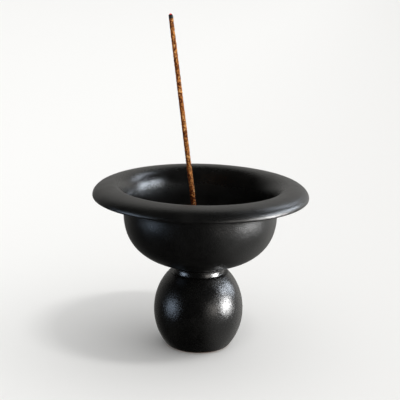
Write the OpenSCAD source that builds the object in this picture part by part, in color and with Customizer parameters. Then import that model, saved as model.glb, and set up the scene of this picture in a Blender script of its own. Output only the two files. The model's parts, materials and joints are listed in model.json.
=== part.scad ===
// Pedestal incense burner of satin black glazed stoneware: a deep bowl with a wide rolled lip
// on a hollow ball foot, and one incense stick that leans in a socket in the bowl's floor.
// Millimetres, +Z up. The origin is the centre of the face that the foot rests on.

/* [Bowl] */
// Outermost radius of the rolled lip
lip_r = 70; // [66:1:74]
// Height of the lip's outermost edge
lip_edge_z = 102.2; // [101:0.1:104]
// Radius of the ring where the lip is highest
crest_r = 57.8; // [56:0.2:59]
// Height of the lip's highest ring, the top of the bowl
crest_z = 109.4; // [108:0.2:111]
// Radius of the small round under the lip's edge
lip_round = 0.9; // [0.5:0.1:1.2]
// Outer radius of the bowl's wall
wall_r = 50; // [49:0.5:51]
// Height where the outer wall stands upright
wall_z = 92; // [90:0.5:93]
// Thickness of the wall
wall_t = 4.5; // [4:0.1:5.5]
// Height where the inner wall stands upright, below the lip's inner slope
throat_z = 88.6; // [87:0.2:90]
// Height of the bowl's floor inside
floor_z = 62; // [61.5:0.1:63]
// Fullness of the bowl's round, 2 is an ellipse and more is squarer
fullness = 2.5; // [2.3:0.1:2.7]

/* [Neck] */
// Height where the bowl sits on the collar
collar_top_z = 56; // [55.8:0.1:56.4]
// Radius of the collar
collar_r = 16.4; // [16:0.1:16.5]
// Radius of the spigot that stands in the ball
spigot_r = 11.9; // [11:0.1:11.9]
// Length of the spigot below the collar
spigot_len = 8; // [7:0.25:9]
// How far the upper bead of slip stands out from the collar
bead_w = 1.1; // [0.9:0.1:1.3]

/* [Foot] */
// Largest radius of the ball
ball_r = 29.5; // [28.5:0.5:31]
// Half of the height that the ball would have with no flats
ball_h = 34; // [33.5:0.5:34.5]
// Height of the ball's widest ring
ball_z = 24.5; // [24:0.5:25]
// Height where the ball's side turns over into its shoulder
shoulder_z = 50; // [49.8:0.1:50.2]
// Radius of the rounded shoulder
shoulder_r = 1.2; // [1:0.1:1.4]
// Thickness of the ball's wall and of its sole
ball_t = 6.5; // [6:0.5:7]
// Radius of the sole's flat, inside the rounded edge
sole_r = 18.6; // [18:0.2:19]
// Radius of the firing vent in the sole
vent_r = 2.5; // [2:0.25:3.5]

/* [Socket] */
// Radius of the socket for the stick
socket_r = 1.8; // [1.8:0.05:2.2]
// Depth of the socket below the bowl's floor
socket_deep = 10; // [9:0.5:10]
// Distance of the socket from the centre, away from the lean
socket_x = 0.75; // [0.7:0.05:0.8]

/* [Incense stick] */
// Angle of the stick from upright, towards -X
lean = 7.8; // [7.6:0.1:8]
// Whole length of the stick
stick_len = 167; // [120:1:220]
// Length of bare bamboo at the stick's foot
bare_len = 38; // [30:1:50]
// Radius of the bamboo core
core_r = 1; // [0.8:0.05:1]
// Radius of the incense coat at its lower end
coat_low_r = 1.7; // [1.5:0.05:1.9]
// Radius of the incense coat at its upper end
coat_top_r = 1.45; // [1.3:0.05:1.5]
// Length of the taper at the coat's lower end
coat_taper = 4; // [2:0.5:6]
// Length of the charred tip
char_len = 2.4; // [1.6:0.2:4]
// Radius of the glowing ember
ember_r = 0.85; // [0.6:0.05:0.9]

/* [Hidden] */
$fn = 96;
overcut = 1;
// the cove under the lip: how far it reaches out and where it starts
cove_w = 3.5;
cove_z = wall_z + 1.5;
underside_z = lip_edge_z - lip_round;
// how far the bowl's round would run on below its flat base, and below its flat floor
base_drop = 1;
floor_drop = 0.1;
outer_h = wall_z - collar_top_z + base_drop;
inner_r = wall_r - wall_t;
inner_h = throat_z - floor_z + floor_drop;
// the shoulder's round starts where the ball's side has turned by shoulder_turn
shoulder_edge = radius_at(shoulder_z - ball_z, ball_r, ball_h);
shoulder_turn = atan((shoulder_z - ball_z) / shoulder_edge * pow(ball_r / ball_h, 2));
ball_flat_r = shoulder_edge - shoulder_r * cos(shoulder_turn);
shoulder_mid_z = shoulder_z - shoulder_r * sin(shoulder_turn);
ball_top_z = shoulder_mid_z + shoulder_r;
// where the lip's inner slope meets the top of the bowl's wall
join_angle = 180 - angle_at(underside_z - throat_z, crest_z - throat_z);
// the mouth in the ball's top, which the spigot passes
mouth_r = spigot_r + 0.1;
cavity_r = ball_r - ball_t;
cavity_h = ball_h - ball_t;
sole_round_z = 1.6;
bead_h = 1.1;
bead_z = collar_top_z - 0.9;
seam_bead = 0.8;
// the stick's centre line crosses the bowl's centre line just above the floor
cross_z = floor_z + 0.5;
foot_gap = 0.2;
foot_z = floor_z - socket_deep + foot_gap;
foot_x = (cross_z - foot_z) * tan(lean);
ember_len = 0.6;
foot_chamfer = 0.25;

glaze = [0.11, 0.11, 0.11];
slip = [0.15, 0.14, 0.14];
bamboo = [0.78, 0.63, 0.40];
incense = [0.60, 0.36, 0.18];
charcoal = [0.06, 0.06, 0.06];
glow = [0.85, 0.16, 0.08];

// Points along an oval of radius r_axis and half height z_axis, from angle a0 to angle a1.
// A power of 2 is an ellipse; a higher one is fuller.
function oval(r, z, r_axis, z_axis, a0, a1, power = 2, steps = 12) = [
    for (i = [0:steps])
        let (a = a0 + (a1 - a0) * i / steps, c = cos(a), s = sin(a))
        [r + r_axis * sign(c) * pow(abs(c), 2 / power),
         z + z_axis * sign(s) * pow(abs(s), 2 / power)]
];

// Points along a curve that leaves p towards q and reaches s from q.
function bend(p, q, s, steps = 6) = [
    for (i = [0:steps]) let (t = i / steps) (1 - t) * (1 - t) * p + 2 * t * (1 - t) * q + t * t * s
];

// The angle on an oval of half height z_axis where it has climbed or sunk by rise.
function angle_at(rise, z_axis, power = 2) = asin(pow(rise / z_axis, power / 2));

// The radius of an ellipse at a height above or below its centre.
function radius_at(rise, r_axis, z_axis) = r_axis * sqrt(1 - pow(rise / z_axis, 2));

// Puts the children where the stick stands, with +Z along its centre line.
module on_stick() {
    translate([foot_x, 0, foot_z]) rotate([0, -lean, 0]) children();
}

module socket_bore() {
    translate([socket_x, 0, floor_z - socket_deep]) cylinder(r = socket_r, h = socket_deep + overcut);
}

module bowl() {
    outer_angle = angle_at(wall_z - collar_top_z, outer_h, fullness);
    inner_angle = angle_at(throat_z - floor_z, inner_h, fullness);
    color(glaze) difference() {
        rotate_extrude() polygon(concat(
            [[0, floor_z], [0, collar_top_z]],
            oval(0, wall_z, wall_r, outer_h, -outer_angle, 0, fullness, 18),
            oval(wall_r + cove_w, cove_z, cove_w, underside_z - cove_z, 180, 90, steps = 6),
            oval(crest_r, throat_z, crest_r - inner_r, crest_z - throat_z, join_angle, 180, steps = 6),
            oval(0, throat_z, inner_r, inner_h, -5, -inner_angle, fullness, 16)
        ));
        socket_bore();
    }
}

module rolled_lip() {
    color(glaze) rotate_extrude() polygon(concat(
        oval(lip_r - lip_round, lip_edge_z, lip_round, lip_round, -90, 0, steps = 4),
        oval(crest_r, lip_edge_z, lip_r - crest_r, crest_z - lip_edge_z, 5, 90),
        oval(crest_r, throat_z, crest_r - inner_r, crest_z - throat_z, 97, join_angle, steps = 8)
    ));
}

module neck_plug() {
    color(glaze) difference() {
        rotate_extrude() polygon([
            [0, ball_top_z - spigot_len], [spigot_r, ball_top_z - spigot_len], [spigot_r, ball_top_z],
            [collar_r, ball_top_z], [collar_r, collar_top_z], [0, collar_top_z]
        ]);
        socket_bore();
    }
}

module ball_foot() {
    sole_edge = radius_at(ball_z, ball_r, ball_h);
    round_r = radius_at(ball_z - sole_round_z, ball_r, ball_h);
    cavity_top = angle_at(cavity_h * sqrt(1 - pow(mouth_r / cavity_r, 2)), cavity_h);
    cavity_low = angle_at(ball_z - ball_t, cavity_h);
    color(glaze) rotate_extrude() polygon(concat(
        [[vent_r, 0]],
        bend([sole_r, 0], [sole_edge, 0], [round_r, sole_round_z]),
        oval(0, ball_z, ball_r, ball_h, -angle_at(ball_z - sole_round_z, ball_h) + 2,
             angle_at(shoulder_z - ball_z, ball_h) - 2, steps = 24),
        oval(ball_flat_r, shoulder_mid_z, shoulder_r, shoulder_r, shoulder_turn, 90, steps = 6),
        [[mouth_r, ball_top_z]],
        oval(0, ball_z, cavity_r, cavity_h, cavity_top, -cavity_low, steps = 18),
        [[vent_r, ball_t]]
    ));
}

module upper_slip_bead() {
    color(slip) rotate_extrude() polygon(concat(
        [[collar_r, collar_top_z]],
        oval(collar_r, bead_z, bead_w, bead_h, -90, angle_at(collar_top_z - bead_z, bead_h), steps = 8)
    ));
}

module lower_slip_bead() {
    color(slip) rotate_extrude() polygon(concat(
        [[collar_r, ball_top_z]],
        oval(collar_r, ball_top_z, seam_bead, seam_bead, 0, 90, steps = 4)
    ));
}

module bamboo_core() {
    core_len = stick_len - char_len - ember_len;
    color(bamboo) on_stick() rotate_extrude() polygon([
        [0, 0], [core_r - foot_chamfer, 0], [core_r, foot_chamfer], [core_r, core_len], [0, core_len]
    ]);
}

module incense_coat() {
    coat_end = stick_len - char_len - ember_len;
    color(incense) on_stick() rotate_extrude() polygon(concat(
        [[core_r, coat_end]],
        bend([core_r, bare_len], [coat_low_r, bare_len + 1], [coat_low_r, bare_len + coat_taper]),
        [[coat_top_r, coat_end]]
    ));
}

module charred_tip() {
    tip_z = stick_len - char_len - ember_len;
    color(charcoal) on_stick() translate([0, 0, tip_z]) rotate_extrude() polygon(concat(
        [[0, 0], [coat_top_r, 0]],
        bend([coat_top_r, char_len / 2], [coat_top_r, char_len], [ember_r, char_len]),
        [[0, char_len]]
    ));
}

module ember() {
    color(glow) on_stick() translate([0, 0, stick_len - ember_len]) rotate_extrude() polygon(concat(
        [[0, 0]],
        oval(0, 0, ember_r, ember_len, 0, 90, steps = 6)
    ));
}

bowl();
rolled_lip();
neck_plug();
ball_foot();
upper_slip_bead();
lower_slip_bead();
bamboo_core();
incense_coat();
charred_tip();
ember();
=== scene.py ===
"""Looks of a pedestal incense burner in satin black stoneware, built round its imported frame.

The stoneware is turned from its outlines, the stick is rolled on its bamboo core, and every piece
rides on the body that it belongs to. Sizes in the classes are millimetres; meshes are metres.
"""

import json
import logging
import math
from dataclasses import dataclass, field, replace
from enum import Enum
from functools import cache
from typing import Callable, Iterable, Optional, Sequence, Union

import bmesh
import bpy
from mathutils import Matrix, Vector, noise


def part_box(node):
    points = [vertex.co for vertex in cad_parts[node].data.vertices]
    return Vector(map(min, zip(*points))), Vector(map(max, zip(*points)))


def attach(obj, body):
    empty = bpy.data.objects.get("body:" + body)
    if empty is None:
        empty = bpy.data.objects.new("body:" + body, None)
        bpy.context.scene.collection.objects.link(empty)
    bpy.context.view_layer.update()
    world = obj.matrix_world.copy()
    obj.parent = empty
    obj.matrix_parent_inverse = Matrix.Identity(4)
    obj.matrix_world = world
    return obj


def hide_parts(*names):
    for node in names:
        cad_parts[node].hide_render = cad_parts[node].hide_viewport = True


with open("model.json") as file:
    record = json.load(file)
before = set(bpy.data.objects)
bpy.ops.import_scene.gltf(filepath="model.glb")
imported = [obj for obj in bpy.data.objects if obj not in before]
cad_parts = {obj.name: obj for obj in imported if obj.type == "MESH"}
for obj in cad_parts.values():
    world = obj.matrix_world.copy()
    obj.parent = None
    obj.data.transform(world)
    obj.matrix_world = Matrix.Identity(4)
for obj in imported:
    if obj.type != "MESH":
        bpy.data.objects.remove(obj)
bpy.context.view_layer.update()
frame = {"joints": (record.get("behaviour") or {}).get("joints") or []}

MM = 0.001
TURN = 2 * math.pi
log = logging.getLogger("incense_burner")

Number = Union[float, "Value"]
Colour = tuple[float, float, float]


class Body(Enum):
    """The bodies that a piece can ride on."""

    BURNER = "burner"
    STICK = "stick"


class Slot(Enum):
    """The record's material slots."""

    GLAZE = "black_glaze"
    SLIP = "glazed_slip"
    BAMBOO = "bamboo"
    PASTE = "incense_paste"
    CHARCOAL = "charcoal"
    EMBER = "ember"


# ------------------------------------------------------------------------------------------
# Shader writing
# ------------------------------------------------------------------------------------------


class Value:
    """A number that varies over a surface; Python's operators add the Math nodes."""

    def __init__(self, shader: "Shader", socket: bpy.types.NodeSocket) -> None:
        """Keeps the socket and the shader that it belongs to."""
        self.shader = shader
        self.socket = socket

    def _math(self, operation: str, first: Number, second: Number) -> "Value":
        """Adds one Math node.

        Args:
            operation: The Math node's operation.
            first: Its first number.
            second: Its second number.

        Returns:
            The node's result.
        """
        node = self.shader.node("ShaderNodeMath", {"operation": operation}, {0: first, 1: second})
        return Value(self.shader, node.outputs[0])

    def __add__(self, other: Number) -> "Value":
        """This number plus other."""
        return self._math("ADD", self, other)

    __radd__ = __add__

    def __sub__(self, other: Number) -> "Value":
        """This number less other."""
        return self._math("SUBTRACT", self, other)

    def __rsub__(self, other: Number) -> "Value":
        """Other less this number."""
        return self._math("SUBTRACT", other, self)

    def __mul__(self, other: Number) -> "Value":
        """This number times other."""
        return self._math("MULTIPLY", self, other)

    __rmul__ = __mul__

    def __pow__(self, other: Number) -> "Value":
        """This number to the power other."""
        return self._math("POWER", self, other)

    def between(self, low: float, high: float) -> "Value":
        """Rises smoothly from 0 at low to 1 at high.

        Args:
            low: Where the result leaves 0.
            high: Where the result reaches 1.

        Returns:
            The eased mask.
        """
        node = self.shader.node(
            "ShaderNodeMapRange",
            {"interpolation_type": "SMOOTHSTEP"},
            {"Value": self, "From Min": low, "From Max": high},
        )
        return Value(self.shader, node.outputs["Result"])


class Shader:
    """A node tree being written, for a material or for the world."""

    def __init__(self, owner: Union[bpy.types.Material, bpy.types.World]) -> None:
        """Empties the owner's node tree, to be written anew."""
        owner.use_nodes = True
        self.tree = owner.node_tree
        self.tree.nodes.clear()

    def node(self, kind: str, settings: Optional[dict] = None,
             inputs: Optional[dict] = None) -> bpy.types.Node:
        """Adds one node.

        Args:
            kind: The node's type.
            settings: Its own properties, set before its sockets.
            inputs: Values or links by socket name or number.

        Returns:
            The new node.
        """
        made = self.tree.nodes.new(kind)
        for name, value in (settings or {}).items():
            setattr(made, name, value)
        for key, value in (inputs or {}).items():
            source = value.socket if isinstance(value, Value) else value
            if isinstance(source, bpy.types.NodeSocket):
                self.tree.links.new(source, made.inputs[key])
            else:
                made.inputs[key].default_value = source
        return made

    def place(self) -> bpy.types.NodeSocket:
        """The Object coordinate, in metres."""
        return self.node("ShaderNodeTexCoord").outputs["Object"]

    def stretched(self, scale: Sequence[float], turn: Sequence[float] = (0, 0, 0)) -> bpy.types.NodeSocket:
        """The Object coordinate turned and stretched.

        Args:
            scale: The stretch along X, Y and Z.
            turn: The turn about X, Y and Z, in radians.

        Returns:
            The mapped coordinate.
        """
        inputs = {"Vector": self.place(), "Scale": tuple(scale), "Rotation": tuple(turn)}
        return self.node("ShaderNodeMapping", inputs=inputs).outputs["Vector"]

    def parts(self, place: Optional[bpy.types.NodeSocket] = None) -> list[Value]:
        """X, Y and Z of a coordinate, the Object coordinate if not given."""
        node = self.node("ShaderNodeSeparateXYZ", inputs={0: place or self.place()})
        return [Value(self, output) for output in node.outputs]

    def grain(self, size: float, detail: float = 2, rough: float = 0.5,
              place: Optional[bpy.types.NodeSocket] = None) -> Value:
        """Soft noise about 0.5.

        Args:
            size: The size of one lump, in the coordinate's unit.
            detail: How many finer layers lie on it.
            rough: How strong the finer layers are.
            place: The coordinate that it reads, the Object coordinate if not given.

        Returns:
            The noise.
        """
        inputs = {"Vector": place or self.place(), "Scale": 1 / size, "Detail": detail, "Roughness": rough}
        return Value(self, self.node("ShaderNodeTexNoise", inputs=inputs).outputs["Fac"])

    def cells(self, size: float) -> Value:
        """Cell noise: one random tone for each cell.

        Args:
            size: The size of one cell in metres.

        Returns:
            The noise.
        """
        node = self.node("ShaderNodeTexVoronoi", inputs={"Vector": self.place(), "Scale": 1 / size})
        return Value(self, node.outputs["Color"])

    def attribute(self, name: str) -> Value:
        """A number stored on the piece's vertices."""
        return Value(self, self.node("ShaderNodeAttribute", {"attribute_name": name}).outputs["Fac"])

    def blend(self, mask: Number, first: Union[Colour, bpy.types.NodeSocket],
              second: Union[Colour, bpy.types.NodeSocket]) -> bpy.types.NodeSocket:
        """Mixes two colours.

        Args:
            mask: 0 gives the first colour and 1 the second.
            first: The first colour.
            second: The second colour.

        Returns:
            The mixed colour.
        """
        colours = [(*c, 1.0) if isinstance(c, tuple) else c for c in (first, second)]
        node = self.node("ShaderNodeMix", {"data_type": "RGBA"}, {0: mask, 6: colours[0], 7: colours[1]})
        return node.outputs[2]

    def tint(self, mask: Number, colour: bpy.types.NodeSocket, by: Colour) -> bpy.types.NodeSocket:
        """Multiplies a colour by another, where a mask says.

        Args:
            mask: 0 leaves the colour and 1 tints it fully.
            colour: The colour that is tinted.
            by: The tint.

        Returns:
            The tinted colour.
        """
        settings = {"data_type": "RGBA", "blend_type": "MULTIPLY"}
        return self.node("ShaderNodeMix", settings, {0: mask, 6: colour, 7: (*by, 1.0)}).outputs[2]

    def bump(self, height: Value, depth: float,
             under: Optional[bpy.types.NodeSocket] = None) -> bpy.types.NodeSocket:
        """A bumped normal.

        Args:
            height: The relief, in units of depth.
            depth: How deep a relief of 1 is, in metres.
            under: A normal that this relief lies on.

        Returns:
            The normal.
        """
        inputs = {"Height": height, "Distance": depth, "Strength": 1.0}
        if under is not None:
            inputs["Normal"] = under
        return self.node("ShaderNodeBump", inputs=inputs).outputs["Normal"]

    def surface(self, **sockets: object) -> None:
        """Ends a material in a Principled shader.

        Args:
            sockets: The shader's sockets by name, with _ for a space.
        """
        inputs = {name.replace("_", " "): value for name, value in sockets.items()}
        for name, value in inputs.items():
            if isinstance(value, tuple) and len(value) == 3:
                inputs[name] = (*value, 1.0)
        shader = self.node("ShaderNodeBsdfPrincipled", inputs=inputs)
        self.node("ShaderNodeOutputMaterial", inputs={"Surface": shader.outputs[0]})


def new_material(name: str) -> tuple[bpy.types.Material, Shader]:
    """A material and the shader to write in it."""
    material = bpy.data.materials.new(name)
    return material, Shader(material)


# ------------------------------------------------------------------------------------------
# Finishes
# ------------------------------------------------------------------------------------------


@dataclass(frozen=True)
class BlackGlaze:
    """Satin black glaze over stoneware: cloudy and finely pitted.

    It can be wiped off up to a height, wiped_to, and lie glossier inside the throat above another
    height, pooled_from. Either is left out at 0.
    """

    name: str = "black_glaze"
    dark: Colour = (0.0011, 0.0011, 0.0010)
    pale: Colour = (0.0050, 0.0047, 0.0040)
    bare: Colour = (0.30, 0.17, 0.10)
    cloud: float = 14.0
    pit: float = 0.85
    swell: float = 6.0
    pit_depth: float = 0.11
    swell_depth: float = 0.05
    smooth: float = 0.20
    rough: float = 0.34
    ior: float = 1.5
    wiped_to: float = 0.0
    wiped_rough: float = 0.4
    pooled_from: float = 0.0
    pool_rise: float = 7.0
    pool_gloss: float = 0.14
    throat: tuple[float, float] = (49.0, 57.0)

    def material(self) -> bpy.types.Material:
        """Writes the finish.

        Returns:
            The material.
        """
        material, shader = new_material(self.name)
        cloud = shader.grain(self.cloud * MM, detail=4, rough=0.6).between(0.35, 0.68)
        pits = shader.grain(self.pit * MM, detail=3, rough=0.65)
        swell = shader.grain(self.swell * MM, detail=1)
        colour = shader.blend(cloud * 0.6 + pits * 0.4, self.dark, self.pale)
        roughness = self.smooth + (cloud * 0.45 + pits.between(0.35, 0.7) * 0.55) * (self.rough - self.smooth)
        if self.pooled_from > 0:
            x, y, z = shader.parts()
            inside = 1 - ((x * x + y * y) ** 0.5).between(self.throat[0] * MM, self.throat[1] * MM)
            pooled = inside * z.between(self.pooled_from * MM, (self.pooled_from + self.pool_rise) * MM)
            roughness = roughness - pooled * self.pool_gloss
        if self.wiped_to > 0:
            edge = shader.parts()[2] + (swell - 0.5) * (self.wiped_to * 0.6 * MM)
            wiped = 1 - edge.between(self.wiped_to * 0.75 * MM, self.wiped_to * MM)
            colour = shader.blend(wiped, colour, self.bare)
            roughness = roughness + wiped * self.wiped_rough
        relief = shader.bump(swell, self.swell_depth * MM)
        relief = shader.bump(pits, self.pit_depth * MM, relief)
        shader.surface(Base_Color=colour, Roughness=roughness, Normal=relief, IOR=self.ior)
        return material


@dataclass(frozen=True)
class BambooFibre:
    """Split bamboo: straight pale fibres with brown streaks."""

    name: str = "bamboo_fibre"
    pale: Colour = (0.62, 0.43, 0.20)
    dark: Colour = (0.36, 0.20, 0.075)
    lean: float = 0.0

    def material(self) -> bpy.types.Material:
        """Writes the finish.

        Returns:
            The material.
        """
        material, shader = new_material(self.name)
        along = shader.stretched((1, 1, 0.03), (0, self.lean, 0))
        fibre = shader.grain(0.22 * MM, detail=3, rough=0.6, place=along)
        blotch = shader.grain(6 * MM, detail=2).between(0.4, 0.7)
        colour = shader.blend(fibre.between(0.35, 0.65) * 0.8 + blotch * 0.2, self.pale, self.dark)
        relief = shader.bump(fibre, 0.05 * MM)
        shader.surface(Base_Color=colour, Roughness=0.55 + fibre * 0.25, Normal=relief)
        return material


@dataclass(frozen=True)
class IncensePaste:
    """Ground wood and resin in random grain tones, with painted shade between crumbs, on the underside of its
    lean and inside the bowl.
    """

    name: str = "incense_paste"
    # pit is the dark end of the paste: the grains' own dark tone and the painted shade between crumbs.
    pit: Colour = (0.095, 0.018, 0.003)
    body: Colour = (0.58, 0.215, 0.045)
    crumb: Colour = (0.95, 0.62, 0.25)
    grit: float = 0.75
    flake: float = 0.8
    # The next three fields set painted shade: the paste is darker where the stick stands inside the bowl.
    bowl_shade_top: float = 112.0
    bowl_shade_fade: float = 22.0
    painted_bowl_shade: Colour = (0.25, 0.15, 0.13)
    # The next two fields set painted shade on the stick's left side, the underside of its lean.
    under: Colour = (0.42, 0.30, 0.24)
    painted_shade_edge: tuple[float, float] = (-1.0, 0.4)
    foot: tuple[float, float] = (0.0, 0.0)
    lean: float = 0.0

    def material(self) -> bpy.types.Material:
        """Writes the finish.

        Returns:
            The material.
        """
        material, shader = new_material(self.name)
        lump = shader.attribute("lump")
        grit = shader.grain(self.grit * MM, detail=3, rough=0.7)
        flake = shader.cells(self.flake * MM)
        # The lump term is painted shade, darker in the low spots between crumbs; grit and flake give the
        # grains' own random tone.
        tone = lump * 0.5 + (grit - 0.5) * 1.4 + (flake - 0.44) * 0.8
        colour = shader.blend(tone.between(0.10, 0.36), self.pit, self.body)
        colour = shader.blend(tone.between(0.40, 0.75), colour, self.crumb)
        x, _, z = shader.parts()
        # Painted shade: below a height near the bowl's lip the paste is darker, where the bowl shades the
        # stick.
        in_bowl_shade = 1 - z.between((self.bowl_shade_top - self.bowl_shade_fade) * MM, self.bowl_shade_top * MM)
        colour = shader.tint(in_bowl_shade, colour, self.painted_bowl_shade)
        # Painted shade: the stick's left side, the underside of its lean, is darker; its right side is left
        # lit.
        aside = x + (z - self.foot[1] * MM) * math.tan(self.lean) - self.foot[0] * MM
        painted_lit_side = aside.between(self.painted_shade_edge[0] * MM, self.painted_shade_edge[1] * MM)
        colour = shader.tint(1 - painted_lit_side, colour, self.under)
        relief = shader.bump(grit, 0.12 * MM)
        shader.surface(Base_Color=colour, Roughness=0.85, Normal=relief, Specular_IOR_Level=0.12)
        return material


@dataclass(frozen=True)
class Charcoal:
    """The burnt end of the paste: black and cracked, with grey ash on its high spots."""

    name: str = "charcoal"
    black: Colour = (0.008, 0.008, 0.009)
    ash: Colour = (0.10, 0.095, 0.09)

    def material(self) -> bpy.types.Material:
        """Writes the finish.

        Returns:
            The material.
        """
        material, shader = new_material(self.name)
        grit = shader.grain(0.3 * MM, detail=3, rough=0.7)
        lump = shader.attribute("lump")
        ash = (lump * 0.6 + grit * 0.4).between(0.62, 0.80)
        colour = shader.blend(ash * 0.6, self.black, self.ash)
        relief = shader.bump(grit, 0.15 * MM)
        shader.surface(Base_Color=colour, Roughness=0.75 + ash * 0.2, Normal=relief)
        return material


@dataclass(frozen=True)
class Ember:
    """The glowing spot: red coal, brightest in its cracks."""

    name: str = "ember"
    crust: Colour = (0.20, 0.012, 0.010)
    glow: Colour = (0.85, 0.045, 0.03)
    strength: float = 0.9

    def material(self) -> bpy.types.Material:
        """Writes the finish.

        Returns:
            The material.
        """
        material, shader = new_material(self.name)
        grit = shader.grain(0.3 * MM, detail=2, rough=0.6)
        heat = shader.blend(grit.between(0.38, 0.60), self.glow, self.crust)
        relief = shader.bump(grit, 0.1 * MM)
        shader.surface(Base_Color=heat, Roughness=0.8, Normal=relief, Emission_Color=heat,
                       Emission_Strength=self.strength)
        return material


@dataclass(frozen=True)
class PaleSweep:
    """Plain pale paper for the floor, with painted shade that makes it a little darker towards the right."""

    name: str = "pale_sweep"
    # left is the lit colour and right the painted shade; reach and slant shape the fall between them.
    left: Colour = (0.89, 0.89, 0.883)
    right: Colour = (0.80, 0.797, 0.79)
    reach: float = 0.35
    slant: float = -0.2

    def material(self) -> bpy.types.Material:
        """Writes the finish.

        Returns:
            The material.
        """
        material, shader = new_material(self.name)
        x, y, _ = shader.parts()
        # Painted shade: the floor's colour falls off from left to right, standing in for light that fades to
        # the right.
        painted_falloff = (x + y * self.slant).between(-self.reach, self.reach)
        colour = shader.blend(painted_falloff, self.left, self.right)
        shader.surface(Base_Color=colour, Roughness=1.0, Specular_IOR_Level=0.0)
        return material


# ------------------------------------------------------------------------------------------
# Shaping
# ------------------------------------------------------------------------------------------


@dataclass
class Outline:
    """A half section, as (radius, height) points in millimetres, that is turned about +Z."""

    points: list[tuple[float, float]] = field(default_factory=list)

    def to(self, r: float, z: float) -> "Outline":
        """Runs straight to a point."""
        self.points.append((r, z))
        return self

    def oval(self, mid: tuple[float, float], axes: tuple[float, float], a0: float, a1: float,
             power: float = 2.0, steps: int = 16) -> "Outline":
        """Runs along an oval.

        Args:
            mid: The oval's middle.
            axes: Its half width and half height.
            a0: The angle where the run starts, in degrees.
            a1: The angle where it ends.
            power: 2 for an ellipse, more for a fuller round.
            steps: How many steps it takes.

        Returns:
            The same outline.
        """
        for i in range(steps + 1):
            angle = math.radians(a0 + (a1 - a0) * i / steps)
            c, s = math.cos(angle), math.sin(angle)
            r = mid[0] + axes[0] * math.copysign(abs(c) ** (2 / power), c)
            self.to(r, mid[1] + axes[1] * math.copysign(abs(s) ** (2 / power), s))
        return self

    def bend(self, p: tuple[float, float], q: tuple[float, float], s: tuple[float, float],
             steps: int = 8) -> "Outline":
        """Runs along a curve that leaves p towards q and reaches s from q.

        Args:
            p: Where it starts.
            q: The corner that it rounds.
            s: Where it ends.
            steps: How many steps it takes.

        Returns:
            The same outline.
        """
        for i in range(steps + 1):
            t = i / steps
            weights = ((1 - t) ** 2, 2 * t * (1 - t), t * t)
            self.to(*(sum(w * c[k] for w, c in zip(weights, (p, q, s))) for k in (0, 1)))
        return self

    def turn(self, steps: int, closed: bool, longest: Optional[float] = None) -> bmesh.types.BMesh:
        """Spins the outline into a closed skin.

        Args:
            steps: How many steps the full turn takes.
            closed: True if the outline is a loop, False if it starts and ends on the axis.
            longest: The longest edge to leave along the outline, in millimetres.

        Returns:
            The skin, with its faces pointing outwards.
        """
        bm = bmesh.new()
        verts = [bm.verts.new((r * MM, 0, z * MM)) for r, z in self.points]
        pairs = list(zip(verts, verts[1:])) + ([(verts[-1], verts[0])] if closed else [])
        for pair in pairs:
            if (pair[0].co - pair[1].co).length > 1e-7:
                bm.edges.new(pair)
        bmesh.ops.remove_doubles(bm, verts=bm.verts, dist=1e-7)
        if longest is not None:
            for edge in list(bm.edges):
                cuts = math.ceil(edge.calc_length() / (longest * MM)) - 1
                if cuts > 0:
                    bmesh.ops.subdivide_edges(bm, edges=[edge], cuts=cuts)
        bmesh.ops.spin(bm, geom=bm.verts[:] + bm.edges[:], cent=(0, 0, 0), axis=(0, 0, 1),
                       angle=TURN, steps=steps, use_merge=True)
        bmesh.ops.remove_doubles(bm, verts=bm.verts, dist=2e-6)
        bmesh.ops.recalc_face_normals(bm, faces=bm.faces)
        return bm


def angle_at(rise: float, axis: float, power: float = 2.0) -> float:
    """The angle on an oval of that half height where it has climbed by rise, in degrees."""
    return math.degrees(math.asin((rise / axis) ** (power / 2)))


def width_at(rise: float, r_axis: float, z_axis: float) -> float:
    """The half width of an ellipse at a height above its middle."""
    return r_axis * math.sqrt(1 - (rise / z_axis) ** 2)


def soften(bm: bmesh.types.BMesh, width: float, segments: int = 2, angle: float = 40) -> None:
    """Rounds every corner that turns by more than an angle.

    Args:
        bm: The skin.
        width: The round's width in millimetres.
        segments: How many facets the round has.
        angle: The least turn that is rounded, in degrees.
    """
    corners = [e for e in bm.edges if len(e.link_faces) == 2 and e.calc_face_angle() > math.radians(angle)]
    bmesh.ops.bevel(bm, geom=corners, offset=width * MM, segments=segments, profile=0.5,
                    affect="EDGES", material=-1, clamp_overlap=True)


def press(bm: bmesh.types.BMesh, rise: Callable[[Vector], float]) -> None:
    """Moves each point along its normal.

    Args:
        bm: The skin.
        rise: Gives the move in millimetres from a point's place.
    """
    bm.normal_update()
    moves = [(vert, vert.normal * (rise(vert.co) * MM)) for vert in bm.verts]
    for vert, move in moves:
        vert.co += move


def lumps(place: Vector, size: float, seed: float) -> float:
    """Soft lumps from -1 to 1, of a size in millimetres."""
    return noise.noise(place / (size * MM) + Vector((seed, seed * 1.7, seed * 2.3)))


def shell(bm: bmesh.types.BMesh, name: str, materials: Iterable[bpy.types.Material],
          sharp: float = 50) -> bpy.types.Object:
    """Makes a finished skin an object.

    Args:
        bm: The skin, in the row frame.
        name: The piece's name.
        materials: Its materials.
        sharp: The least turn that stays a crisp edge, in degrees.

    Returns:
        The object, at the origin.
    """
    for face in bm.faces:
        face.smooth = True
    for edge in bm.edges:
        if len(edge.link_faces) == 2 and edge.calc_face_angle() > math.radians(sharp):
            edge.smooth = False
    mesh = bpy.data.meshes.new(name)
    bm.to_mesh(mesh)
    bm.free()
    for material in materials:
        mesh.materials.append(material)
    piece = bpy.data.objects.new(name, mesh)
    bpy.context.scene.collection.objects.link(piece)
    return piece


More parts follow.
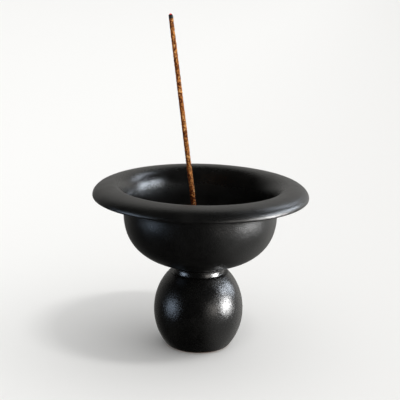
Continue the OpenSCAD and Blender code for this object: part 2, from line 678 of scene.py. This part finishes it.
def hand_over(piece: bpy.types.Object, body: Body, slot: Slot, *nodes: str) -> None:
    """Puts a piece on its body, in place of the nodes that it stands for.

    Args:
        piece: The finished piece.
        body: The body that it rides on.
        slot: The record's slot for its finish; not used.
        nodes: The nodes that it replaces.
    """
    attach(piece, body.value)
    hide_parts(*nodes)
    log.info("%s rides on %s for %s", piece.name, body.value, ", ".join(nodes))


@cache
def span(node: str) -> tuple[Vector, Vector]:
    """A node's lowest and highest corners, in millimetres."""
    low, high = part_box(node)
    return low / MM, high / MM


# ------------------------------------------------------------------------------------------
# Stoneware
# ------------------------------------------------------------------------------------------


@dataclass
class Socket:
    """The hole for the stick, in the bowl's floor and the neck below it."""

    radius: float = 1.8
    offset: float = 0.75
    deep: float = 10.0
    floor_z: float = 62.0

    def drill(self, bm: bmesh.types.BMesh) -> None:
        """Moves the turned hole off the centre, to where the stick stands."""
        reach = (self.radius + 0.35) * MM
        ring = [v for v in bm.verts if 1e-6 < v.co.xy.length < reach]
        bmesh.ops.translate(bm, verts=ring, vec=(self.offset * MM, 0, 0))


@dataclass
class Bowl:
    """The bowl and its rolled lip, one turned skin."""

    socket: Socket
    crest_r: float = 57.8
    lip_edge_z: float = 102.2
    lip_round: float = 0.9
    wall_r: float = 50.0
    wall_z: float = 92.0
    wall_t: float = 4.5
    throat_z: float = 88.6
    fullness: float = 2.5
    base_drop: float = 1.0
    floor_drop: float = 0.1
    cove_w: float = 3.5
    cove_rise: float = 1.5
    base_z: float = 56.0
    steps: int = 256
    wobble: float = 0.12
    ripple: float = 0.03
    still_z: float = 3.0
    still_r: float = 12.0

    def outline(self) -> Outline:
        """The half section, a loop from the socket's mouth round the outside and back.

        Returns:
            The outline.
        """
        lip_low, lip_high = span("rolled_lip")
        base_z = self.base_z
        lip_r, crest_z, under_z = lip_high.x, lip_high.z, lip_low.z
        outer_h = self.wall_z - base_z + self.base_drop
        inner_r = self.wall_r - self.wall_t
        inner_h = self.throat_z - self.socket.floor_z + self.floor_drop
        cove_z = self.wall_z + self.cove_rise
        outer_turn = angle_at(self.wall_z - base_z, outer_h, self.fullness)
        inner_turn = angle_at(self.throat_z - self.socket.floor_z, inner_h, self.fullness)
        line = Outline().to(self.socket.radius, base_z)
        line.oval((0, self.wall_z), (self.wall_r, outer_h), -outer_turn, 0, self.fullness, 40)
        line.oval((self.wall_r + self.cove_w, cove_z), (self.cove_w, under_z - cove_z), 180, 90, steps=12)
        line.oval((lip_r - self.lip_round, self.lip_edge_z), (self.lip_round,) * 2, -90, 0, steps=6)
        line.oval((self.crest_r, self.lip_edge_z), (lip_r - self.crest_r, crest_z - self.lip_edge_z),
                  3, 90, steps=26)
        line.oval((self.crest_r, self.throat_z), (self.crest_r - inner_r, crest_z - self.throat_z),
                  93, 180, steps=28)
        line.oval((0, self.throat_z), (inner_r, inner_h), -3, -inner_turn, self.fullness, 30)
        return line.to(self.socket.radius, self.socket.floor_z)

    def rise(self, place: Vector) -> float:
        """How far the maker's hand left the skin from true, in millimetres.

        Args:
            place: A point on the skin.

        Returns:
            The move along the skin's normal.
        """
        free = min(1.0, max(0.0, (place.z / MM - self.base_z) / self.still_z))
        free *= min(1.0, place.xy.length / (self.still_r * MM))
        return free * (lumps(place, 45, 3.1) * self.wobble + lumps(place, 9, 7.7) * self.ripple)

    def build(self, glaze: bpy.types.Material) -> bpy.types.Object:
        """Turns, drills and finishes the bowl.

        Args:
            glaze: The bowl's glaze.

        Returns:
            The piece.
        """
        bm = self.outline().turn(self.steps, closed=True, longest=2.0)
        self.socket.drill(bm)
        press(bm, self.rise)
        piece = shell(bm, "glazed_bowl", [glaze])
        hand_over(piece, Body.BURNER, Slot.GLAZE, "bowl", "rolled_lip")
        return piece


@dataclass
class BallFoot:
    """The hollow ball that the bowl stands on."""

    middle_z: float = 24.5
    half_h: float = 34.0
    wall_t: float = 6.5
    shoulder_z: float = 50.0
    shoulder_r: float = 1.2
    mouth_r: float = 12.0
    sole_r: float = 18.6
    sole_round_z: float = 1.6
    vent_r: float = 2.5
    steps: int = 224
    wobble: float = 0.10
    ripple: float = 0.03
    still: tuple[float, float] = (1.5, 49.5)
    still_fade: float = 4.0

    def outline(self) -> Outline:
        """The half section, a loop from the vent up the outside and down the inside.

        Returns:
            The outline.
        """
        ball_r = span("ball_foot")[1].x
        edge = width_at(self.shoulder_z - self.middle_z, ball_r, self.half_h)
        turn = math.degrees(math.atan((self.shoulder_z - self.middle_z) / edge * (ball_r / self.half_h) ** 2))
        round_mid = (edge - self.shoulder_r * math.cos(math.radians(turn)),
                     self.shoulder_z - self.shoulder_r * math.sin(math.radians(turn)))
        sole_edge = width_at(self.middle_z, ball_r, self.half_h)
        round_r = width_at(self.middle_z - self.sole_round_z, ball_r, self.half_h)
        inner = (ball_r - self.wall_t, self.half_h - self.wall_t)
        top = angle_at(width_at(self.mouth_r, inner[1], inner[0]), inner[1])
        line = Outline().to(self.vent_r, 0)
        line.bend((self.sole_r, 0), (sole_edge, 0), (round_r, self.sole_round_z))
        line.oval((0, self.middle_z), (ball_r, self.half_h),
                  -angle_at(self.middle_z - self.sole_round_z, self.half_h) + 2,
                  angle_at(self.shoulder_z - self.middle_z, self.half_h) - 2, steps=56)
        line.oval(round_mid, (self.shoulder_r,) * 2, turn, 90, steps=10)
        line.to(self.mouth_r, round_mid[1] + self.shoulder_r)
        line.oval((0, self.middle_z), inner, top, -angle_at(self.middle_z - self.wall_t, inner[1]), steps=24)
        return line.to(self.vent_r, self.wall_t)

    def rise(self, place: Vector) -> float:
        """How far the skin lies from true, in millimetres: not at all on the sole and at the neck.

        Args:
            place: A point on the skin.

        Returns:
            The move along the skin's normal.
        """
        height = place.z / MM
        low, high = self.still
        free = min(1.0, max(0.0, (height - low) / self.still_fade))
        free *= min(1.0, max(0.0, (high - height) / self.still_fade))
        return free * (lumps(place, 26, 1.3) * self.wobble + lumps(place, 7, 5.9) * self.ripple)

    def build(self, glaze: bpy.types.Material) -> bpy.types.Object:
        """Turns and finishes the ball.

        Args:
            glaze: The ball's glaze, wiped from its sole.

        Returns:
            The piece.
        """
        bm = self.outline().turn(self.steps, closed=True, longest=2.0)
        soften(bm, 0.25)
        press(bm, self.rise)
        piece = shell(bm, "glazed_ball", [glaze])
        hand_over(piece, Body.BURNER, Slot.GLAZE, "ball_foot")
        return piece


@dataclass
class NeckCollar:
    """The solid collar between ball and bowl, with its spigot and the foot of the socket."""

    socket: Socket
    waist: float = 0.25
    spigot_r: float = 11.9
    steps: int = 160

    def outline(self) -> Outline:
        """The half section, from the socket's floor to the spigot's end.

        Returns:
            The outline.
        """
        low, high = span("neck_plug")
        bottom = self.socket.floor_z - self.socket.deep
        step_z = span("ball_foot")[1].z
        line = Outline().to(0, bottom).to(self.socket.radius, bottom).to(self.socket.radius, high.z)
        line.to(high.x, high.z)
        line.bend((high.x, high.z), (high.x - 2 * self.waist, (high.z + step_z) / 2), (high.x, step_z))
        return line.to(self.spigot_r, step_z).to(self.spigot_r, low.z).to(0, low.z)

    def build(self, glaze: bpy.types.Material) -> bpy.types.Object:
        """Turns, drills and finishes the collar.

        Args:
            glaze: The collar's glaze.

        Returns:
            The piece.
        """
        bm = self.outline().turn(self.steps, closed=False, longest=2.0)
        self.socket.drill(bm)
        soften(bm, 0.2)
        piece = shell(bm, "neck_collar", [glaze])
        hand_over(piece, Body.BURNER, Slot.GLAZE, "neck_plug")
        return piece


@dataclass
class SlipRing:
    """A ring of slip pressed round a joint by finger."""

    name: str
    node: str
    inner_r: float
    width: float
    waver: float
    steps: int = 200

    def outline(self) -> Outline:
        """The ring's own section, a loop that each kind of ring has its own way."""
        raise NotImplementedError

    def build(self, glaze: bpy.types.Material) -> bpy.types.Object:
        """Turns the ring and presses it a little uneven.

        Args:
            glaze: The slip's glaze.

        Returns:
            The piece.
        """
        bm = self.outline().turn(self.steps, closed=True)
        for vert in bm.verts:
            out = vert.co.xy.length / MM - self.inner_r
            push = lumps(vert.co, 6, 2.9) * self.waver * out / self.width
            vert.co.xy *= 1 + push * out / (self.inner_r + out)
        piece = shell(bm, self.name, [glaze])
        hand_over(piece, Body.BURNER, Slot.SLIP, self.node)
        return piece


@dataclass
class SlipBead(SlipRing):
    """A round bead under the bowl's base."""

    mid_drop: float = 0.9
    half_h: float = 1.1

    def outline(self) -> Outline:
        """The bead's own section, a loop.

        Returns:
            The outline.
        """
        top_z = span(self.node)[1].z
        line = Outline().to(self.inner_r, top_z)
        return line.oval((self.inner_r, top_z - self.mid_drop), (self.width, self.half_h),
                         -90, angle_at(self.mid_drop, self.half_h), steps=14)


@dataclass
class SlipCove(SlipRing):
    """A cove wiped into the corner over the ball, hollow and not round."""

    height: float = 2.3

    def outline(self) -> Outline:
        """The cove's own section, a loop.

        Returns:
            The outline.
        """
        foot_z = span(self.node)[0].z
        hollow = (self.inner_r + self.width * 0.4, foot_z + self.height * 0.36)
        line = Outline().to(self.inner_r, foot_z)
        return line.bend((self.inner_r + self.width, foot_z), hollow, (self.inner_r, foot_z + self.height))


# ------------------------------------------------------------------------------------------
# Incense stick
# ------------------------------------------------------------------------------------------


@dataclass
class Stick:
    """The incense stick: its core, coat, burnt tip and ember, made upright and then leaned."""

    core_r: float = 1.0
    chamfer: float = 0.25
    length: float = 167.0
    bare_len: float = 38.0
    coat_low_r: float = 1.7
    coat_top_r: float = 1.45
    taper: float = 4.0
    char_len: float = 2.4
    ember_len: float = 0.6
    ember_r: float = 0.85
    crumb_top: float = 0.78
    crumb_fall: float = 0.75
    crumb_soft: float = 0.32
    crumb_mid: float = 0.55
    bore_play: float = 0.08

    def lean(self) -> float:
        """The angle from upright, in radians, from the joint that the stick lifts along."""
        axis = Vector(frame["joints"][0]["axis"])
        return math.atan2(-axis.x, axis.z)

    def stand(self) -> Matrix:
        """The matrix that takes the upright stick, in metres, to where it stands.

        Returns:
            The matrix.
        """
        low, high = span("bamboo_core")
        lean = self.lean()
        foot_x = high.x - self.core_r * math.cos(lean) + self.chamfer * math.sin(lean)
        foot_z = low.z + (self.core_r - self.chamfer) * math.sin(lean)
        return Matrix.Translation(Vector((foot_x, 0, foot_z)) * MM) @ Matrix.Rotation(-lean, 4, "Y")

    def coat_end(self) -> float:
        """Where the charred tip starts, along the stick."""
        return self.length - self.char_len - self.ember_len

    def finish(self, bm: bmesh.types.BMesh, name: str, material: bpy.types.Material, slot: Slot,
               node: str) -> bpy.types.Object:
        """Leans a skin with the stick and hands it over.

        Args:
            bm: The upright skin.
            name: The piece's name.
            material: Its finish.
            slot: The record's slot.
            node: The node that it replaces.

        Returns:
            The piece.
        """
        bmesh.ops.transform(bm, matrix=self.stand(), verts=bm.verts)
        piece = shell(bm, name, [material], sharp=60)
        hand_over(piece, Body.STICK, slot, node)
        return piece

    def build_core(self) -> bpy.types.Object:
        """The bamboo core, with its fibres standing a little proud.

        Returns:
            The piece.
        """
        line = Outline().to(0, 0).to(self.core_r - self.chamfer, 0).to(self.core_r, self.chamfer)
        line.to(self.core_r, self.coat_end()).to(0, self.coat_end())
        bm = line.turn(32, closed=False, longest=1.5)

        def fibre(place: Vector) -> float:
            """Ridges along the stick that wander slowly."""
            if place.xy.length < 0.6 * MM or place.z > (self.bare_len + 1) * MM:
                return 0.0
            along = Vector((place.x, place.y, place.z * 0.02))
            return lumps(along, 0.55, 4.2) * 0.035 - 0.015

        press(bm, fibre)
        finish = BambooFibre(lean=self.lean())
        return self.finish(bm, "bamboo_core_stick", finish.material(), Slot.BAMBOO, "bamboo_core")

    def crumble(self, bm: bmesh.types.BMesh, depth: float, grain: float, start: float) -> None:
        """Roughens a skin into crumbs, and stores how high each point lies as "lump".

        Args:
            bm: The upright skin.
            depth: How far the crumbs stand proud, in millimetres.
            grain: The size of a crumb in millimetres.
            start: Along the stick, where the crumbs begin.
        """
        layer = bm.verts.layers.float.new("lump")
        bm.normal_update()
        moves = []
        for vert in bm.verts:
            cell = noise.voronoi(vert.co / (grain * MM))[0][0]
            soft = noise.fractal(vert.co / (grain * 1.9 * MM) + Vector((9, 2, 5)), 0.8, 2.1, 3)
            lump = min(1.0, max(0.0, self.crumb_top - cell * self.crumb_fall + soft * self.crumb_soft))
            vert[layer] = lump
            outside = vert.co.xy.length > (self.core_r + self.bore_play) * MM
            free = 1.0 if outside and vert.co.z > start * MM else 0.0
            moves.append((vert, vert.normal * ((lump - self.crumb_mid) * depth * free * MM)))
        for vert, move in moves:
            vert.co += move

    def build_coat(self) -> bpy.types.Object:
        """The crumbly coat of paste.

        Returns:
            The piece.
        """
        low, top = self.bare_len, self.coat_end()
        line = Outline().to(self.core_r, top)
        line.bend((self.core_r, low), (self.coat_low_r, low + 1), (self.coat_low_r, low + self.taper))
        line.to(self.coat_top_r, top)
        bm = line.turn(48, closed=True, longest=0.22)
        self.crumble(bm, depth=0.40, grain=0.8, start=low)
        foot = self.stand().translation / MM
        paste = IncensePaste(foot=(foot.x, foot.z), lean=self.lean())
        return self.finish(bm, "incense_coat_paste", paste.material(), Slot.PASTE, "incense_coat")

    def build_tip(self) -> bpy.types.Object:
        """The charred tip.

        Returns:
            The piece.
        """
        low, top = self.coat_end(), self.length - self.ember_len
        line = Outline().to(0, low).to(self.coat_top_r, low)
        line.bend((self.coat_top_r, low + self.char_len / 2), (self.coat_top_r, top), (self.ember_r, top))
        line.to(0, top)
        bm = line.turn(36, closed=False, longest=0.2)
        self.crumble(bm, depth=0.35, grain=0.8, start=low + 0.1)
        return self.finish(bm, "charred_stub", Charcoal().material(), Slot.CHARCOAL, "charred_tip")

    def build_ember(self) -> bpy.types.Object:
        """The ember on the tip.

        Returns:
            The piece.
        """
        low = self.length - self.ember_len
        line = Outline().to(0, low).oval((0, low), (self.ember_r, self.ember_len), 0, 90, steps=8)
        bm = line.turn(32, closed=False, longest=0.15)
        self.crumble(bm, depth=0.18, grain=0.6, start=low + 0.05)
        return self.finish(bm, "glowing_ember", Ember().material(), Slot.EMBER, "ember")

    def build(self) -> list[bpy.types.Object]:
        """Builds the whole stick."""
        return [self.build_core(), self.build_coat(), self.build_tip(), self.build_ember()]


# ------------------------------------------------------------------------------------------
# Studio
# ------------------------------------------------------------------------------------------


@dataclass
class Softbox:
    """A soft rectangular light that faces the burner."""

    name: str
    azimuth: float
    elevation: float
    distance: float
    width: float
    height: float
    radiance: float
    colour: Colour = (1, 1, 1)
    on_gloss: bool = True
    on_matte: bool = True
    turn: float = 0.0

    def place(self, aim: Vector) -> None:
        """Hangs the light. Azimuth 0 is straight behind the camera and 90 is to the right.

        Args:
            aim: The point that the light faces, in metres.
        """
        a, e = math.radians(self.azimuth), math.radians(self.elevation)
        out = Vector((math.sin(a) * math.cos(e), -math.cos(a) * math.cos(e), math.sin(e)))
        light = bpy.data.lights.new(self.name, "AREA")
        light.shape = "RECTANGLE"
        light.size, light.size_y = self.width, self.height
        light.energy = self.radiance * math.pi * self.width * self.height
        light.color = self.colour
        lamp = bpy.data.objects.new(self.name, light)
        lamp.location = aim + out * self.distance
        facing = out.to_track_quat("Z", "Y").to_matrix() @ Matrix.Rotation(math.radians(self.turn), 3, "Z")
        lamp.rotation_euler = facing.to_euler()
        lamp.visible_camera = False
        lamp.visible_glossy = self.on_gloss
        lamp.visible_diffuse = self.on_matte
        bpy.context.scene.collection.objects.link(lamp)


@dataclass
class Studio:
    """The camera, the pale floor, the softboxes and the air round them."""

    aim: tuple[float, float, float] = (-0.4, 0.0, 98.3)
    distance: float = 700.0
    elevation: float = 14.27
    roll: float = 1.23
    lens: float = 97.0
    sensor: float = 36.0
    floor_half: float = 8.0
    window_distance: float = 1.2
    air: Colour = (1, 0.998, 0.99)
    mirrored_tone: Colour = (1, 0.985, 0.945)
    even: float = 0.93
    side: float = 0.78
    seen: float = 0.86
    unlit: float = 0.022

    def camera(self) -> None:
        """Sets the camera, looking down a little and turned a little about its own line."""
        e, roll = math.radians(self.elevation), math.radians(self.roll)
        forward = Vector((0, math.cos(e), -math.sin(e)))
        up = Vector((0, math.sin(e), math.cos(e)))
        right = Vector((1, 0, 0))
        turned_right = right * math.cos(roll) + up * math.sin(roll)
        turned_up = up * math.cos(roll) - right * math.sin(roll)
        data = bpy.data.cameras.new("camera")
        data.lens, data.sensor_width = self.lens, self.sensor
        data.clip_start, data.clip_end = 0.01, 100
        camera = bpy.data.objects.new("camera", data)
        bpy.context.scene.collection.objects.link(camera)
        axes = Matrix((turned_right, turned_up, -forward)).transposed().to_4x4()
        camera.matrix_world = Matrix.Translation((Vector(self.aim) - forward * self.distance) * MM) @ axes
        bpy.context.scene.camera = camera

    def floor(self) -> None:
        """Lays the pale floor."""
        bm = bmesh.new()
        bmesh.ops.create_grid(bm, x_segments=8, y_segments=8, size=self.floor_half)
        floor = shell(bm, "floor", [PaleSweep().material()])
        floor.visible_glossy = False

    def room(self) -> None:
        """Lights the air: pale, stronger from the right, and dark and shaped where the glaze mirrors it."""
        world = bpy.data.worlds.new("studio_air")
        bpy.context.scene.world = world
        shader = Shader(world)
        way = shader.node("ShaderNodeTexCoord").outputs["Generated"]
        x, y, z = shader.parts(way)
        # What the glaze mirrors: the pale back, the low right-hand side, and the sky above the back.
        back = y.between(0.15, 0.85) * (0.35 + x * 0.14 + z * 0.36)
        right = x.between(0.15, 0.75) * (1 - z.between(0.05, 0.5)) * 0.48
        sky = y.between(0.3, 0.7) * z.between(0.45, 0.75) * 0.36
        mirrored = self.unlit + back + right + sky
        path = shader.node("ShaderNodeLightPath").outputs
        plain_air, mirrored_air, seen_air = (
            shader.node("ShaderNodeBackground", inputs={"Color": (*tone, 1), "Strength": strength}).outputs[0]
            for tone, strength in ((self.air, self.even + x * self.side), (self.mirrored_tone, mirrored),
                                   (self.air, self.seen)))
        met = shader.node("ShaderNodeMixShader", inputs={
            0: path["Is Glossy Ray"], 1: plain_air, 2: mirrored_air}).outputs[0]
        air = shader.node("ShaderNodeMixShader", inputs={0: path["Is Camera Ray"], 1: met, 2: seen_air})
        shader.node("ShaderNodeOutputWorld", inputs={"Surface": air.outputs[0]})

    def lights(self) -> None:
        """Hangs the key, which the glaze doesn't mirror, and the windows, which only gloss shows."""
        aim = Vector(self.aim) * MM
        key = Softbox("key", 51.6, 64, 12.0, 2.6, 1.1, 32.0, (1, 0.995, 0.98), on_gloss=False, turn=-48.5)
        key.place(aim)
        windows = [
            ("window_right", 77, 0, 0.56, 0.36, 44.0, (1.0, 1.0, 1.0)),
            ("window_right_mid", 108, 15, 0.22, 0.34, 24.0, (0.82, 0.90, 1.0)),
            ("window_right_high", 127, 38, 0.18, 0.48, 9.0, (0.80, 0.88, 1.0)),
            ("window_right_over", 84, 23, 0.20, 0.18, 44.0, (0.84, 0.91, 1.0)),
            ("window_front", 42, 1, 0.50, 0.26, 4.0, (1.0, 0.94, 0.88)),
            ("window_left", -72, -4, 0.56, 0.34, 6.5, (0.66, 0.80, 1.0)),
        ]
        for name, azimuth, elevation, width, height, radiance, colour in windows:
            Softbox(name, azimuth, elevation, self.window_distance, width, height, radiance, colour,
                    on_matte=False).place(aim)

    def build(self) -> None:
        """Builds the studio."""
        self.camera()
        self.floor()
        self.room()
        self.lights()
        bpy.context.scene.view_settings.view_transform = "Standard"


def main() -> None:
    """Builds the studio, the stoneware and the stick."""
    logging.basicConfig(level=logging.INFO, format="%(name)s: %(message)s")
    Studio().build()
    socket = Socket()
    glaze = BlackGlaze(smooth=0.27, rough=0.42, pooled_from=95).material()
    wiped = BlackGlaze(name="black_glaze_wiped", wiped_to=1.0).material()
    slip_look = BlackGlaze(name="glazed_slip", cloud=8.0, smooth=0.20, rough=0.30, pit_depth=0.08, ior=1.6)
    slip = slip_look.material()
    Bowl(socket).build(glaze)
    NeckCollar(socket).build(replace(slip_look, name="black_glaze_neck").material())
    BallFoot().build(wiped)
    collar_r = span("neck_plug")[1].x
    SlipBead("upper_bead", "upper_slip_bead", collar_r, width=1.1, waver=0.25).build(slip)
    SlipCove("lower_bead", "lower_slip_bead", collar_r, width=0.5, waver=0.1).build(slip)
    Stick().build()


if __name__ == "__main__":
    main()
